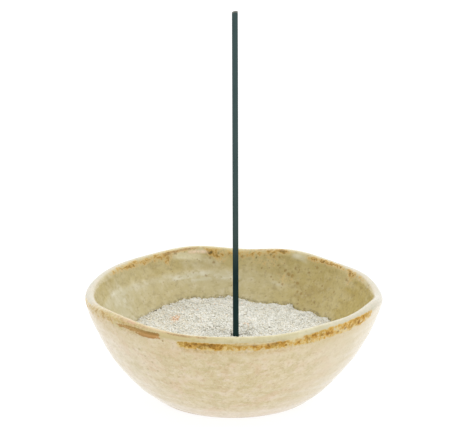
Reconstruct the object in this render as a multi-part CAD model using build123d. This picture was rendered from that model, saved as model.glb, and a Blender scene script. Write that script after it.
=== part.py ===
from build123d import *
import math
import os
import numpy as np

# Incense burner: a hand-formed stoneware bowl, a bed of coarse pale sand in it,
# and one square incense stick standing in the sand.
# Millimetres. +Z up. Origin on the ground at the centre of the bowl's foot.
# The angle theta is measured from +X towards +Y. The front of the burner is -Y.

# ---------------------------------------------------------------- bowl
RIM_HEIGHT = 37.97          # height of the lip roll's centre line, mean
LIP_CENTRE_R = 53.06        # radius of the lip roll's centre line, mean
LIP_ROLL_R = 1.94           # radius of the rounded lip
FOOT_EDGE_R = 27.7          # where the outside wall meets the ground
FOOT_LAND_INNER_R = 22.6    # inside edge of the foot's flat ring
FOOT_RECESS_DEPTH = 1.9     # how far the underside is turned out
FLOOR_Z = 7.4               # inside floor of the bowl
FLOOR_FLAT_R = 19.0         # flat middle of the inside floor

# outside wall from the foot to just under the lip: (height, radius)
OUTER_WALL = [(0.35, 28.55), (1.0, 29.6), (2.28, 31.44), (3.8, 33.42), (5.32, 35.21),
              (7.5, 37.45), (9.87, 39.53), (12.8, 42.1), (15.95, 44.63), (19.3, 46.87),
              (22.78, 48.81), (26.5, 50.74), (30.38, 52.49), (33.6, 53.75), (36.1, 54.55)]
# inside wall from under the lip down to the floor: (height, radius)
INNER_WALL = [(36.9, 50.52), (35.0, 49.75), (33.2, 49.0), (30.3, 47.6), (27.4, 46.0),
              (24.4, 44.2), (21.5, 42.3), (18.7, 40.2), (15.9, 37.7), (12.9, 34.6),
              (10.6, 31.5), (9.0, 28.0), (7.95, 24.0), (7.5, 21.2)]

# the hand-formed rim isn't round: radius and height wander round it,
# as (harmonic, cosine part, sine part)
RIM_OUT = [(2, -0.623, -0.313), (3, 0.137, -0.038), (4, 0.065, -0.074),
           (5, -0.015, -0.135), (6, 0.036, -0.042)]
RIM_UP = [(1, -0.011, -0.017), (2, -0.135, -0.221), (3, 0.109, -0.466), (4, -0.436, 0.006),
          (5, 0.009, -0.072), (6, -0.097, -0.147), (7, -0.005, 0.212), (8, -0.213, -0.002),
          (9, -0.204, -0.132), (10, -0.024, -0.061), (11, -0.033, 0.059), (12, -0.025, 0.036)]

# ---------------------------------------------------------------- sand
# height of the sand's edge against the wall, by angle in degrees
SAND_EDGE = [(0, 21.3), (27, 21.4), (45, 21.5), (62, 21.6), (76, 21.75), (87, 22.7),
             (101, 23.3), (115, 23.6), (126, 22.9), (136, 22.2), (148, 21.0), (165, 21.2),
             (185, 21.8), (205, 21.6), (230, 21.2), (255, 21.6), (280, 21.9), (305, 21.5),
             (335, 21.2)]
SAND_MIDDLE_Z = 22.3        # general level of the sand
CRATER_DEPTH = 0.75         # dip round the stick
CRATER_R = 4.2

# ---------------------------------------------------------------- stick
STICK_SIDE = 2.12           # square section
STICK_EDGE_R = 0.22         # rounded long edges
STICK_FOOT_Z = 9.0          # the buried end
STICK_TOP_Z = 144.0         # 135 mm long
STICK_X_AT_FOOT = 0.91      # where the buried end stands
STICK_LEAN = -0.34 / 119.8  # sideways lean, X per Z
STICK_HOLE_GAP = 0.08       # play between the stick and the hole it made

POINTS_ROUND = 48


def series(terms, theta):
    return sum(c * math.cos(k * theta) + s * math.sin(k * theta) for k, c, s in terms)


def wander(z):
    """How much of the rim's wander reaches this height: none at the foot, all at the rim."""
    w = min(max(z / RIM_HEIGHT, 0.0), 1.0)
    return w * w * (3 - 2 * w)


def closed_wire(points):
    n = len(points)
    return Wire([Edge.make_spline([Vector(*p) for p in points], periodic=True,
                                  parameters=[i / n for i in range(n + 1)])])


def angles():
    return [2 * math.pi * i / POINTS_ROUND for i in range(POINTS_ROUND)]


def inner_fade(z):
    """The wander of the inside wall fades out towards the flat floor."""
    return min(max((z - FLOOR_Z) / (RIM_HEIGHT - FLOOR_Z), 0.0), 1.0)


def outer_ring(r, z):
    up = min(z / RIM_HEIGHT, 1.0)
    return [((r + wander(z) * series(RIM_OUT, t)) * math.cos(t),
             (r + wander(z) * series(RIM_OUT, t)) * math.sin(t),
             z + up * series(RIM_UP, t)) for t in angles()]


def inner_ring(r, z, extra=0.0):
    f = inner_fade(z)
    return [((r + extra + wander(z) * series(RIM_OUT, t)) * math.cos(t),
             (r + extra + wander(z) * series(RIM_OUT, t)) * math.sin(t),
             z + f * series(RIM_UP, t)) for t in angles()]


def flat_ring(r, z):
    return [(r * math.cos(t), r * math.sin(t), z) for t in angles()]


# ---- bowl: one skin from the foot's edge, up the outside, over the lip, down to the floor
sections = [flat_ring(FOOT_EDGE_R, 0.0)]
for z, r in OUTER_WALL:
    sections.append(outer_ring(r, z))
for deg in (-14, 12, 40, 68, 96, 124, 150):
    a = math.radians(deg)
    sections.append(outer_ring(LIP_CENTRE_R + LIP_ROLL_R * math.cos(a),
                               RIM_HEIGHT + LIP_ROLL_R * math.sin(a)))
for z, r in INNER_WALL:
    sections.append(inner_ring(r, z))
sections.append(flat_ring(FLOOR_FLAT_R, FLOOR_Z))
bowl = Solid.make_loft([closed_wire(s) for s in sections])

# the underside is turned out, which leaves a flat ring to stand on
recess = Pos(0, 0, -1) * Cylinder(FOOT_LAND_INNER_R, 1 + FOOT_RECESS_DEPTH,
                                  align=(Align.CENTER, Align.CENTER, Align.MIN))
recess = fillet(recess.edges().group_by(Axis.Z)[-1], 1.2)
bowl = bowl - recess

# ---- sand bed: fills the bowl up to a softly uneven top with a dip round the stick
edge_a = np.radians([a for a, _ in SAND_EDGE])
edge_z = np.array([z for _, z in SAND_EDGE])


def sand_edge(theta):
    """Smoothed height of the sand against the wall."""
    t = (theta + 2 * math.pi) % (2 * math.pi)
    spread = [(t + d) % (2 * math.pi) for d in np.radians(np.linspace(-9, 9, 7))]
    return float(np.mean(np.interp(spread, edge_a, edge_z, period=2 * math.pi)))


def sand_top(x, y):
    """Height of the sand's surface, without the wall's pull at the edge."""
    z = SAND_MIDDLE_Z
    z += 0.28 * math.sin(0.115 * x + 0.6) * math.cos(0.098 * y - 0.4)
    z += 0.16 * math.sin(0.21 * x - 0.13 * y + 1.9)
    d = math.hypot(x - STICK_X_AT_FOOT, y)
    return z - CRATER_DEPTH * math.exp(-(d / CRATER_R) ** 2)


WALL_Z = np.array([h for h, _ in INNER_WALL][::-1])
WALL_R = np.array([r for _, r in INNER_WALL][::-1])


def sand_wall_r(z):
    """Radius of the inside wall at a height, by a cubic through its four nearest sections."""
    i = int(np.clip(np.searchsorted(WALL_Z, z) - 2, 0, len(WALL_Z) - 4))
    total = 0.0
    for j in range(i, i + 4):
        part = WALL_R[j]
        for k in range(i, i + 4):
            if k != j:
                part *= (z - WALL_Z[k]) / (WALL_Z[j] - WALL_Z[k])
        total += part
    return float(total)


SAND_GAP = 0.12             # hair-line between the sand's side and the glaze


def sand_side(level_of):
    """A ring of the sand's side, lying along the wall at a height that may vary with the angle."""
    ring = []
    for t in angles():
        level = level_of(t)
        r = sand_wall_r(level) + wander(level) * series(RIM_OUT, t) - SAND_GAP
        ring.append((r * math.cos(t), r * math.sin(t), level + inner_fade(level) * series(RIM_UP, t)))
    return ring


def edge_level(t):
    """Where the sand's edge lies on the unwandered wall."""
    z = sand_edge(t)
    return z - inner_fade(z) * series(RIM_UP, t)


sand_sections = [flat_ring(FLOOR_FLAT_R - 1.5, FLOOR_Z + SAND_GAP)]
for z, r in INNER_WALL[::-1]:
    if z < 18:
        slope = 0.35 if z > 12 else 0.75
        sand_sections.append(inner_ring(r, z + SAND_GAP * slope, -SAND_GAP * 0.9))
LOW_SIDE = 17.4
for share in (0.0, 0.4, 0.72, 0.9, 0.975):
    sand_sections.append(sand_side(lambda t: LOW_SIDE + share * (edge_level(t) - LOW_SIDE)))
for f in (1.0, 0.995, 0.975, 0.94, 0.89, 0.82, 0.73, 0.61, 0.49, 0.37, 0.26, 0.17, 0.11):
    ring = []
    for t in angles():
        ze = sand_edge(t)
        re = sand_wall_r(edge_level(t)) + wander(edge_level(t)) * series(RIM_OUT, t) - SAND_GAP
        x, y = f * re * math.cos(t), f * re * math.sin(t)
        g = f ** 5
        ring.append((x, y, g * ze + (1 - g) * sand_top(x, y)))
    sand_sections.append(ring)
middle_z = float(np.mean([sand_top(2.2 * math.cos(t), 2.2 * math.sin(t)) for t in angles()]))
sand_sections.append(flat_ring(2.6, middle_z))
sand_bed = Solid.make_loft([closed_wire(s) for s in sand_sections])

# ---- incense stick: square, softly rounded edges, broken off a little aslant at the top
lean = math.degrees(math.atan(STICK_LEAN))
stick_place = Pos(STICK_X_AT_FOOT, 0, STICK_FOOT_Z) * Rot(0, lean, 0)
stick_len = STICK_TOP_Z - STICK_FOOT_Z
stick = Box(STICK_SIDE, STICK_SIDE, stick_len, align=(Align.CENTER, Align.CENTER, Align.MIN))
stick = fillet(stick.edges().filter_by(Axis.Z), STICK_EDGE_R)
slice_top = Pos(-STICK_SIDE / 2 - 0.2, 0, stick_len - 0.35) * Rot(0, -17, 0) * Box(
    1.5, 6, 4, align=(Align.CENTER, Align.CENTER, Align.MIN))
stick = stick - slice_top
incense_stick = stick_place * stick

hole_side = STICK_SIDE + 2 * STICK_HOLE_GAP
hole = stick_place * Box(hole_side, hole_side, 40, align=(Align.CENTER, Align.CENTER, Align.MIN))
sand_bed = sand_bed - hole

os.makedirs("parts", exist_ok=True)
for name, shape in (("bowl", bowl), ("sand_bed", sand_bed), ("incense_stick", incense_stick)):
    solids = shape.solids()
    assert len(solids) == 1, (name, len(solids))
    solid = solids[0]
    solid.label = name
    box = solid.bounding_box()
    print(name, "valid", solid.is_valid, "volume", round(solid.volume, 1),
          "box", [round(v, 2) for v in (*box.min, *box.max)], "faces", len(solid.faces()))
    export_step(solid, "parts/" + name + ".step")
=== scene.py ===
import math
import bpy
import numpy as np
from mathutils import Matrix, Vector


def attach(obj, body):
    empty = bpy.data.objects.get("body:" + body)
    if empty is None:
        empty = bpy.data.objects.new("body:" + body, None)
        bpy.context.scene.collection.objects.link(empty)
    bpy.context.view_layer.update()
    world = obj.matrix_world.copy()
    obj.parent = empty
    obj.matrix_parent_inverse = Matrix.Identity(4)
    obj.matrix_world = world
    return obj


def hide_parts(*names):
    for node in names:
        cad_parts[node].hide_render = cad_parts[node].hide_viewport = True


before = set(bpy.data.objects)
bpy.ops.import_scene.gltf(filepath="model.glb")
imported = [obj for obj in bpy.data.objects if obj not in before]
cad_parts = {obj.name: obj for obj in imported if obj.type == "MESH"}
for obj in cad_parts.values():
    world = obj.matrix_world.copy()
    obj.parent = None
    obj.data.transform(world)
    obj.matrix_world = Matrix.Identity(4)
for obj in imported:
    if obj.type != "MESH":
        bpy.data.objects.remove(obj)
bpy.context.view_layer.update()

MM = 0.001

# ------------------------------------------------------------------ the burner's own numbers, in mm
RIM_HEIGHT = 37.97
LIP_CENTRE_R = 53.06
LIP_ROLL_R = 1.94
FOOT_EDGE_R = 27.7
FOOT_LAND_INNER_R = 22.6
FOOT_RECESS = 1.9
FLOOR_Z = 7.4
FLOOR_FLAT_R = 19.0
OUTER_WALL = [(0.35, 28.55), (1.0, 29.6), (2.28, 31.44), (3.8, 33.42), (5.32, 35.21),
              (7.5, 37.45), (9.87, 39.53), (12.8, 42.1), (15.95, 44.63), (19.3, 46.87),
              (22.78, 48.81), (26.5, 50.74), (30.38, 52.49), (33.6, 53.75), (36.1, 54.55)]
INNER_WALL = [(36.9, 50.52), (35.0, 49.75), (33.2, 49.0), (30.3, 47.6), (27.4, 46.0),
              (24.4, 44.2), (21.5, 42.3), (18.7, 40.2), (15.9, 37.7), (12.9, 34.6),
              (10.6, 31.5), (9.0, 28.0), (7.95, 24.0), (7.5, 21.2)]
RIM_OUT = [(2, -0.623, -0.313), (3, 0.137, -0.038), (4, 0.065, -0.074),
           (5, -0.015, -0.135), (6, 0.036, -0.042)]
RIM_UP = [(1, -0.011, -0.017), (2, -0.135, -0.221), (3, 0.109, -0.466), (4, -0.436, 0.006),
          (5, 0.009, -0.072), (6, -0.097, -0.147), (7, -0.005, 0.212), (8, -0.213, -0.002),
          (9, -0.204, -0.132), (10, -0.024, -0.061), (11, -0.033, 0.059), (12, -0.025, 0.036)]
SAND_EDGE = [(0, 21.3), (27, 21.4), (45, 21.5), (62, 21.6), (76, 21.75), (87, 22.7),
             (101, 23.3), (115, 23.6), (126, 22.9), (136, 22.2), (148, 21.0), (165, 21.2),
             (185, 21.8), (205, 21.6), (230, 21.2), (255, 21.6), (280, 21.9), (305, 21.5),
             (335, 21.2)]
SAND_MIDDLE_Z = 22.3
CRATER_DEPTH = 0.75
CRATER_R = 4.2
STICK_SIDE = 2.12
STICK_FOOT_Z = 9.0
STICK_TOP_Z = 144.0
STICK_X_AT_FOOT = 0.91
STICK_LEAN = -0.34 / 119.8
STICK_HOLE_GAP = 0.08

# how the sand's edge rises and falls against the far wall, over its smooth run (degrees, mm)
RAGGED = [(22, 0.3), (24, -0.1), (29, -0.14), (31.7, 0.15), (33.6, 0.08), (34.8, -0.4), (37.3, -1.15), (39.8, -0.55), (41.6, -0.35),
          (43.4, -0.08), (45, 0.13), (46.4, 0.04), (48.7, -0.45), (51.2, -0.75), (53, -0.85), (55.1, -0.68), (56.8, -0.2), (58.3, 0.7),
          (60.6, 0.55), (61.5, 0.0), (65, 0.12), (68.4, 0.28), (69.5, 0.1), (71, -0.3), (73.7, -0.55), (76.9, -0.88), (80.2, -0.6),
          (83.4, -0.35), (86, -0.1), (89, 0.35), (92.5, 0.8), (93.7, 0.3), (94.7, -0.45), (95.6, 0.0), (99.6, -0.18), (103.7, -0.35),
          (106.8, -0.18), (110.5, 0.06), (113, -0.07), (117.5, 0.03), (119.3, 0.0), (121, -0.55), (123, -0.45), (126, -0.27),
          (128.4, 0.05), (131.5, -0.38), (137, -0.2), (141, -0.22), (144, 0.02), (147, 0.25), (151, 0.0)]
# small marks where iron bled through the glaze (x, y, z, radius, mm)
DARK_MARKS = [(-8.6, 50.5, 38.6, 0.5), (-6.9, 50.8, 39.1, 0.42), (-5.8, 50.9, 38.3, 0.42), (-11.1, 50.1, 40.4, 0.42),
              (12.1, 49.4, 38.3, 0.5), (14.2, 48.8, 38.5, 0.6), (19.1, 47.1, 39.5, 0.6), (8.8, 50.2, 36.7, 0.42), (-45.3, 21.8, 40.2, 0.55),
              (-41.1, 29.4, 39.9, 0.7), (-37.5, 34.3, 38.6, 0.48), (-35.1, 36.9, 39.1, 0.52), (-31.0, 40.7, 39.6, 0.65), (48.1, 12.6, 39.7, 0.72),
              (46.1, 18.4, 39.4, 0.46), (35.1, 35.9, 38.8, 0.42)]
OCHRE_MARKS = [(-9.0, 50.1, 36.6, 0.45), (-1.7, 51.1, 38.1, 0.7), (3.3, 50.9, 37.0, 0.65), (15.5, 48.4, 37.5, 0.45), (17.6, 47.6, 37.7, 0.45), (31.8, 38.8, 36.2, 0.6),
               (42.4, 25.3, 35.7, 0.68), (24.4, 40.3, 29.6, 0.68), (18.7, 42.6, 28.4, 0.5), (21.0, 43.6, 32.1, 0.8), (22.4, 42.8, 31.8, 0.65),
               (25.7, 37.3, 26.3, 0.62), (24.4, 38.5, 26.8, 0.5), (19.7, 44.9, 33.2, 0.48), (14.4, 45.7, 30.5, 0.42), (10.9, 48.2, 33.2, 0.42),
               (28.8, 40.0, 33.9, 0.45), (33.6, 33.8, 30.5, 0.42), (37.9, 27.9, 30.0, 0.48), (17.2, 46.7, 34.8, 0.45), (25.2, 42.5, 34.3, 0.42),
               (-10.6, -54.1, 39.6, 0.5), (-9.5, -54.3, 39.6, 0.4)]
BAND_MARKS = [(44.6, -31.5, 37.9, 0.85), (41.8, -35.1, 37.7, 0.55), (39.6, -37.6, 37.4, 0.55), (28.7, -46.6, 37.9, 0.55), (33.4, -43.3, 37.5, 0.65),
              (26.6, -47.9, 37.2, 0.5), (31.2, -44.9, 37.5, 0.55), (37.0, -40.1, 37.0, 0.5), (23.0, -49.9, 36.4, 0.45), (18.4, -51.9, 35.9, 0.42),
              (-24.7, -48.9, 36.6, 0.45), (17.4, -52.2, 37.4, 0.7),
              (14.9, -53.1, 37.3, 0.6), (12.1, -53.8, 37.0, 0.5), (-16.2, -52.6, 36.5, 0.62), (-13.4, -53.5, 36.7, 0.5), (-6.4, -54.9, 36.9, 0.5),
              (-4.0, -55.1, 36.9, 0.55)]
GREY_MARKS = [(-31.3, -40.5, 27.9, 0.5), (-30.4, -37.3, 22.0, 0.5), (-28.8, -41.3, 26.0, 0.42), (-26.8, -40.5, 22.3, 0.45), (-33.5, -40.0, 30.4, 0.42),
              (-22.2, -40.2, 17.7, 0.45), (-49.2, -22.0, 38.6, 0.55), (-48.3, -23.9, 37.9, 0.5), (-45.9, -28.3, 38.1, 0.45), (-42.8, -33.0, 37.1, 0.45),
              (4.4, -54.6, 34.3, 0.45), (-9.9, -53.7, 34.0, 0.45), (-13.1, -53.2, 34.5, 0.5)]

# light levels
TENT_LOW = 0.45
TENT_TOP = 1.14
TENT_BACK = 0.72


# ------------------------------------------------------------------ small maths
def series(terms, theta):
    total = np.zeros_like(theta)
    for k, c, s in terms:
        total = total + c * np.cos(k * theta) + s * np.sin(k * theta)
    return total


def wander(z):
    w = np.clip(z / RIM_HEIGHT, 0, 1)
    return w * w * (3 - 2 * w)


def fade(z):
    return np.clip((z - FLOOR_Z) / (RIM_HEIGHT - FLOOR_Z), 0, 1)


def smooth(a, b, x):
    t = np.clip((x - a) / (b - a), 0, 1)
    return t * t * (3 - 2 * t)


def spline(knots, values, at):
    """Natural cubic spline through rows of values."""
    x = np.asarray(knots, float)
    y = np.asarray(values, float)
    n = len(x)
    h = np.diff(x)
    A = np.zeros((n, n))
    B = np.zeros_like(y)
    A[0, 0] = A[-1, -1] = 1
    for i in range(1, n - 1):
        A[i, i - 1], A[i, i], A[i, i + 1] = h[i - 1], 2 * (h[i - 1] + h[i]), h[i]
        B[i] = 6 * ((y[i + 1] - y[i]) / h[i] - (y[i] - y[i - 1]) / h[i - 1])
    M = np.linalg.solve(A, B)
    j = np.clip(np.searchsorted(x, at) - 1, 0, n - 2)
    a = (x[j + 1] - at) / h[j]
    b = (at - x[j]) / h[j]
    shape = (-1,) + (1,) * (y.ndim - 1)
    a, b, hh = a.reshape(shape), b.reshape(shape), h[j].reshape(shape)
    return a * y[j] + b * y[j + 1] + ((a ** 3 - a) * M[j] + (b ** 3 - b) * M[j + 1]) * hh ** 2 / 6


class Noise:
    """Smooth value noise on a periodic lattice, seeded."""

    def __init__(self, seed, size=64):
        self.n = size
        self.v = np.random.default_rng(seed).uniform(-1, 1, (size, size, size))

    def once(self, p):
        i = np.floor(p).astype(int)
        f = p - i
        f = f * f * f * (f * (f * 6 - 15) + 10)
        out = np.zeros(len(p))
        for dx in (0, 1):
            for dy in (0, 1):
                for dz in (0, 1):
                    w = (f[:, 0] if dx else 1 - f[:, 0]) * (f[:, 1] if dy else 1 - f[:, 1]) * (f[:, 2] if dz else 1 - f[:, 2])
                    out += w * self.v[(i[:, 0] + dx) % self.n, (i[:, 1] + dy) % self.n, (i[:, 2] + dz) % self.n]
        return out

    def __call__(self, p, feature, octaves=3):
        total, amp, norm = 0, 1.0, 0.0
        q = np.asarray(p, float) / feature
        for _ in range(octaves):
            total = total + amp * self.once(q)
            norm += amp
            q = q * 2.03 + 17.1
            amp *= 0.5
        return total / norm


def periodic_table(pairs, theta):
    """Smoothly interpolated values given at some angles in degrees."""
    a = np.radians([p[0] for p in pairs])
    v = np.array([p[1] for p in pairs], float)
    t = np.mod(theta, 2 * math.pi)
    return np.interp(t, a, v, period=2 * math.pi)


def sand_edge(t):
    acc = 0
    for d in np.radians(np.linspace(-9, 9, 7)):
        acc = acc + periodic_table(SAND_EDGE, t + d)
    return acc / 7


edge_noise = Noise(61)


def sand_ragged(t):
    """How far the sand's edge stands off its smooth run."""
    a = np.mod(np.degrees(t), 360)
    q = np.column_stack([46 * np.cos(np.ravel(t)), 46 * np.sin(np.ravel(t)), 0 * np.ravel(t)])
    own = (0.45 * edge_noise(q, 3.4, 2) + 0.35 * edge_noise(q + 30, 9.0, 1)).reshape(np.shape(t)) - 0.1
    read = np.interp(a, [k[0] for k in RAGGED], [k[1] for k in RAGGED])
    far = smooth(18, 24, a) * (1 - smooth(149, 158, a))
    return far * read + (1 - far) * own


# ------------------------------------------------------------------ mesh helpers
def mesh_object(name, verts, faces, smooth_shade=True):
    me = bpy.data.meshes.new(name)
    me.from_pydata([], [], [])
    verts = np.asarray(verts, float)
    me.vertices.add(len(verts))
    me.vertices.foreach_set("co", verts.astype(np.float32).ravel())
    loops = np.concatenate([np.asarray(f, dtype=np.int32).ravel() for f in faces])
    sizes = np.concatenate([np.full(len(f), np.asarray(f).shape[1], dtype=np.int32) for f in faces])
    me.loops.add(len(loops))
    me.loops.foreach_set("vertex_index", loops)
    me.polygons.add(len(sizes))
    starts = np.concatenate([[0], np.cumsum(sizes)[:-1]]).astype(np.int32)
    me.polygons.foreach_set("loop_start", starts)
    me.polygons.foreach_set("loop_total", sizes)
    me.polygons.foreach_set("use_smooth", np.full(len(sizes), smooth_shade))
    me.update(calc_edges=True)
    me.validate()
    ob = bpy.data.objects.new(name, me)
    bpy.context.scene.collection.objects.link(ob)
    return ob


def put(ob, name, values):
    at = ob.data.attributes.new(name, "FLOAT", "POINT")
    at.data.foreach_set("value", np.asarray(values, np.float32))


def grid_faces(rows, cols, closed=True, flip=False):
    """Quads between rows of points that run round."""
    i = np.arange(rows - 1)[:, None]
    j = np.arange(cols if closed else cols - 1)[None, :]
    k = (j + 1) % cols
    a, b, c, d = i * cols + j, i * cols + k, (i + 1) * cols + k, (i + 1) * cols + j
    a, b, c, d = (np.broadcast_to(x, (rows - 1, j.shape[1])) for x in (a, b, c, d))
    q = np.stack([a, b, c, d], -1).reshape(-1, 4)
    return q[:, ::-1] if flip else q


# ------------------------------------------------------------------ bowl
AROUND = 384


def bowl_sections():
    """(r, z, wander weight, up weight) along the profile from the inside floor to the foot's edge."""
    rows = []
    rows.append((FLOOR_FLAT_R, FLOOR_Z, 0.0, 0.0))
    for z, r in INNER_WALL[::-1]:
        rows.append((r, z, float(wander(z)), float(fade(z))))
    for deg in (150, 124, 96, 68, 40, 12, -14):
        a = math.radians(deg)
        z = RIM_HEIGHT + LIP_ROLL_R * math.sin(a)
        rows.append((LIP_CENTRE_R + LIP_ROLL_R * math.cos(a), z, float(wander(z)), min(z / RIM_HEIGHT, 1.0)))
    for z, r in OUTER_WALL[::-1]:
        rows.append((r, z, float(wander(z)), z / RIM_HEIGHT))
    return np.array(rows)


sec = bowl_sections()
arc = np.concatenate([[0], np.cumsum(np.hypot(np.diff(sec[:, 0]), np.diff(sec[:, 1])))])
fine = np.linspace(0, arc[-1], 4000)
fine_p = spline(arc, sec, fine)
lip_top = fine[np.argmax(fine_p[:, 1])]
# sample closer together round the lip
density = 1.0 / 0.62 + (1.0 / 0.26 - 1.0 / 0.62) * np.exp(-((fine - lip_top) / 5.5) ** 4)
count = np.concatenate([[0], np.cumsum(0.5 * (density[1:] + density[:-1]) * np.diff(fine))])
steps = int(count[-1])
at = np.interp(np.linspace(0, count[-1], steps + 1), count, fine)
wall = spline(arc, sec, at)
s_lip = at - lip_top               # > 0 outside the lip's top, < 0 inside

# inside floor, as rings out from the middle
floor_r = np.linspace(0, FLOOR_FLAT_R, 22)[1:-1]
inside = np.column_stack([floor_r, np.full(len(floor_r), FLOOR_Z), 0 * floor_r, 0 * floor_r])
# foot: rounded edge, flat ring, recess
edge_round = [(28.2, 0.16), (27.95, 0.055), (27.7, 0.012), (27.4, 0.0)]
land = [(x, 0.0) for x in np.linspace(27.0, 23.3, 8)]
recess = [(23.0, 0.012), (22.8, 0.06), (22.66, 0.18), (22.6, 0.4), (22.6, 0.7)]
for deg in (15, 30, 45, 60, 75, 90):
    a = math.radians(deg)
    recess.append((22.6 - 1.2 * (1 - math.cos(a)), 0.7 + 1.2 * math.sin(a)))
recess += [(x, FOOT_RECESS) for x in np.linspace(20.6, 0.9, 26)]
foot = np.array([(r, z, 0.0, 0.0) for r, z in edge_round + land + recess])
profile = np.vstack([inside, wall, foot])
s_all = np.concatenate([np.full(len(inside), -200.0), s_lip, np.full(len(foot), 200.0)])
kind_foot = np.concatenate([np.zeros(len(inside) + len(wall)), np.ones(len(foot))])

theta = np.linspace(0, 2 * math.pi, AROUND, endpoint=False)
RO, RU = series(RIM_OUT, theta), series(RIM_UP, theta)
R = profile[:, 0][:, None] + profile[:, 2][:, None] * RO[None]
Z = profile[:, 1][:, None] + profile[:, 3][:, None] * RU[None]
T = np.broadcast_to(theta[None], R.shape)
S = np.broadcast_to(s_all[:, None], R.shape)

# the hand's marks: shallow dents, and faint rings from shaping, pushed along the wall's normal
P = np.stack([R * np.cos(T), R * np.sin(T), Z], -1)
du = np.roll(P, -1, 1) - np.roll(P, 1, 1)
dv = np.gradient(P, axis=0)
N = np.cross(du, dv)
N /= np.maximum(np.linalg.norm(N, axis=-1, keepdims=True), 1e-9)
outward = np.stack([np.cos(T), np.sin(T), 0 * T], -1)
flip = np.sign((N * outward).sum(-1)[np.argmax(s_all > 10)].mean())
N = N * flip
flat = P.reshape(-1, 3)
big, mid, tiny = Noise(11), Noise(12), Noise(13)
stretch = flat * np.array([1, 1, 1.9])
dents = big(stretch, 21.0, 2) * 0.20 + mid(stretch, 7.0, 2) * 0.055
rings = 0.05 * np.sin(2 * math.pi * (Z.ravel() + 0.9 * big(flat, 30.0, 1)) / 4.1)
sflat = S.ravel()
on_out = smooth(2.0, 8.0, sflat) * (1 - smooth(49.0, 56.0, sflat))
on_in = smooth(2.5, 8.0, -sflat) * (sflat > -190)
lumps = tiny(flat, 2.6, 2)
# glaze that ran and pooled at the lip: small soft lumps along both edges
lipzone = np.exp(-((sflat - 4.4) / 2.4) ** 2) + np.exp(-((sflat + 2.6) / 2.0) ** 2)
ledge_z = 32.3 + 0.7 * big(flat, 16.0, 2)
ledge_on = smooth(78, 95, np.degrees(T.ravel())) * (1 - smooth(168, 182, np.degrees(T.ravel())))
ledge = smooth(ledge_z + 0.9, ledge_z - 0.9, Z.ravel()) * smooth(22.0, 30.0, Z.ravel()) * ledge_on * (sflat < 0)
push = 0.30 * ledge + (dents + rings) * on_out + (0.7 * dents + 0.4 * rings) * on_in
push = push + lipzone * (0.05 * lumps + 0.06 * mid(flat, 4.2, 2))
ridge_at = 2.45 + 0.35 * big(flat, 8.0, 1)
ridge_on = 0.55 + 0.55 * mid(flat + 7, 9.0, 2)
push = push + ridge_on * (0.085 * np.exp(-((sflat - ridge_at) / 0.5) ** 2) - 0.07 * np.exp(-((sflat - ridge_at + 1.15) / 0.6) ** 2))
push = push - 0.05 * np.exp(-((sflat - ridge_at - 2.0) / 1.0) ** 2)
P = (flat + N.reshape(-1, 3) * push[:, None]).reshape(P.shape)

rows = len(profile)
verts = np.vstack([P.reshape(-1, 3), [[0, 0, FLOOR_Z]], [[0, 0, FOOT_RECESS]]]) * MM
quads = grid_faces(rows, AROUND)
c0, c1 = rows * AROUND, rows * AROUND + 1
j = np.arange(AROUND)
k = (j + 1) % AROUND
cap0 = np.column_stack([np.full(AROUND, c0), k, j])
last = (rows - 1) * AROUND
cap1 = np.column_stack([np.full(AROUND, c1), last + j, last + k])
bowl = mesh_object("bowl_glazed", verts, [quads, cap0, cap1])


def add_end(v, a, b):
    return np.concatenate([np.asarray(v, float).ravel(), [a, b]])


def volume_of(ob):
    me = ob.data
    me.calc_loop_triangles()
    n = len(me.loop_triangles)
    tri = np.empty(n * 3, np.int32)
    me.loop_triangles.foreach_get("vertices", tri)
    co = np.empty(len(me.vertices) * 3)
    me.vertices.foreach_get("co", co)
    a, b, c = (co.reshape(-1, 3)[tri.reshape(-1, 3)[:, i]] for i in range(3))
    return float(np.einsum("ij,ij->i", a, np.cross(b, c)).sum() / 6)


def face_outward(ob):
    if volume_of(ob) < 0:
        ob.data.flip_normals()
        ob.data.update()


face_outward(bowl)

# ---- where each glaze colour lies, by angle round the rim and distance over the lip
deg = np.degrees(T)
OUT_BREAK = [(0, 0.3), (12, 0.25), (22, 0.5), (35, 0.7), (60, 0.55), (90, 0.5), (120, 0.65), (150, 0.55),
             (180, 0.4), (192, 0.38), (199, 0.34), (208, 0.38), (216, 0.38), (226, 0.32), (236, 0.2), (241, 0.06), (248, 0.0),
             (250, 0.80), (253, 1.10), (265.5, 1.15), (267.5, 0.72), (273, 0.80), (282, 0.92), (287, 1.0), (288.5, 0.80), (292, 0.72),
             (296, 0.74), (300, 0.78), (309, 0.85), (314, 0.62), (320, 0.78), (327, 0.88), (331, 0.78), (335, 0.12), (340, 0.0), (349, 0.05)]
OUT_PLACE = [(0, 4.0), (150, 4.2), (200, 3.2), (214, 3.0), (228, 3.4), (244, 4.3), (252, 4.35), (266, 4.4), (276, 4.5),
             (290, 4.6), (304, 4.2), (322, 3.9), (335, 3.7)]
OUT_SPREAD = [(0, 1.7), (90, 1.8), (180, 1.8), (205, 1.9), (222, 1.9), (236, 1.3), (248, 1.1), (252, 1.45), (264, 1.5),
              (275, 1.65), (284, 1.45), (289, 1.55), (300, 2.0), (312, 2.1), (325, 1.9), (336, 1.6)]
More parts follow.
